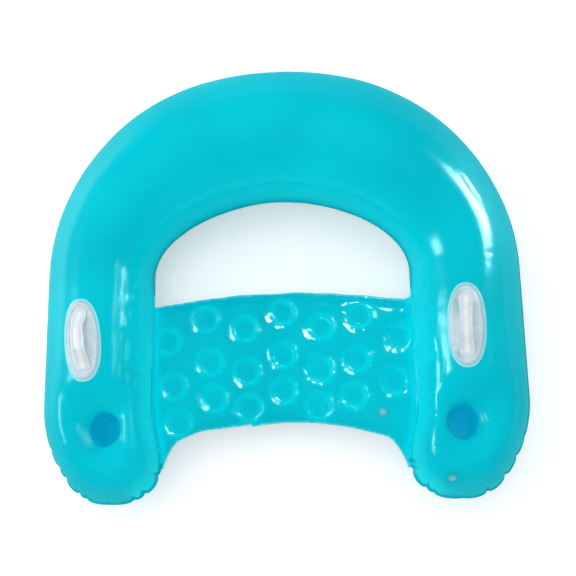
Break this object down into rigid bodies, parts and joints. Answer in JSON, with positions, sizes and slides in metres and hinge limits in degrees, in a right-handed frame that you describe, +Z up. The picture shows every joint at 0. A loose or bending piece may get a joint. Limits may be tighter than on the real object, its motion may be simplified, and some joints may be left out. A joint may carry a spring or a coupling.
{
  "type": "inflatable pool lounge chair",
  "caption": "Horseshoe-shaped inflatable pool lounge with a tufted seat mat between the arms, arm handles, cup wells and push-in valves.",
  "frame": {"origin": "on the floor, under the middle of the chair's outline", "axes": "+Z up, +Y towards the back rest, +X to the right as seen from the open front"},
  "size_m": [1.094, 0.9984, 0.3008],
  "materials": {
    "tube_vinyl": "glossy translucent film",
    "seat_vinyl": "glossy translucent film",
    "cup_vinyl": "glossy translucent film",
    "handle_vinyl": "clear soft plastic",
    "grip_plastic": "milky soft plastic",
    "valve_collar_plastic": "clear soft plastic",
    "valve_plastic": "milky soft plastic"
  },
  "bodies": {
    "chair": {"tube_upper_sheet": "tube_vinyl", "tube_lower_sheet": "tube_vinyl", "seat_upper_sheet": "seat_vinyl", "seat_lower_sheet": "seat_vinyl", "cup_sleeve_left": "cup_vinyl", "cup_sleeve_right": "cup_vinyl", "cup_floor_left": "cup_vinyl", "cup_floor_right": "cup_vinyl", "handle_patch_left": "handle_vinyl", "handle_patch_right": "handle_vinyl", "handle_grip_left": "grip_plastic", "handle_grip_right": "grip_plastic", "tube_valve_collar": "valve_collar_plastic", "seat_valve_collar": "valve_collar_plastic"},
    "tube_valve_stem": {"tube_valve_stem": "valve_plastic"},
    "tube_valve_plug": {"tube_valve_plug": "valve_plastic"},
    "tube_valve_flap": {"tube_valve_flap": "valve_plastic"},
    "seat_valve_stem": {"seat_valve_stem": "valve_plastic"},
    "seat_valve_plug": {"seat_valve_plug": "valve_plastic"},
    "seat_valve_flap": {"seat_valve_flap": "valve_plastic"}
  },
  "joints": [
    {"name": "tube_stem_slide", "type": "slide", "parent": "chair", "child": "tube_valve_stem", "axis": [-0.0799, -0.662, 0.7453], "range_m": [0, 0.01]},
    {"name": "tube_plug_hinge", "type": "hinge", "parent": "tube_valve_stem", "child": "tube_valve_plug", "pos_m": [0.35046, -0.45723, 0.19173], "axis": [0, -0.7476, -0.6641], "range_deg": [0, 120]},
    {"name": "tube_flap_hinge", "type": "hinge", "parent": "tube_valve_stem", "child": "tube_valve_flap", "pos_m": [0.35494, -0.44754, 0.18082], "axis": [0, 0.7476, 0.6641], "range_deg": [0, 45]},
    {"name": "seat_stem_slide", "type": "slide", "parent": "chair", "child": "seat_valve_stem", "axis": [-0.1022, -0.0016, 0.9948], "range_m": [0, 0.01]},
    {"name": "seat_plug_hinge", "type": "hinge", "parent": "seat_valve_stem", "child": "seat_valve_plug", "pos_m": [0.21313, -0.30895, 0.12397], "axis": [0, -1, -0.0016], "range_deg": [0, 120]},
    {"name": "seat_flap_hinge", "type": "hinge", "parent": "seat_valve_stem", "child": "seat_valve_flap", "pos_m": [0.21793, -0.30893, 0.10948], "axis": [0, 1, 0.0016], "range_deg": [0, 45]}
  ]
}
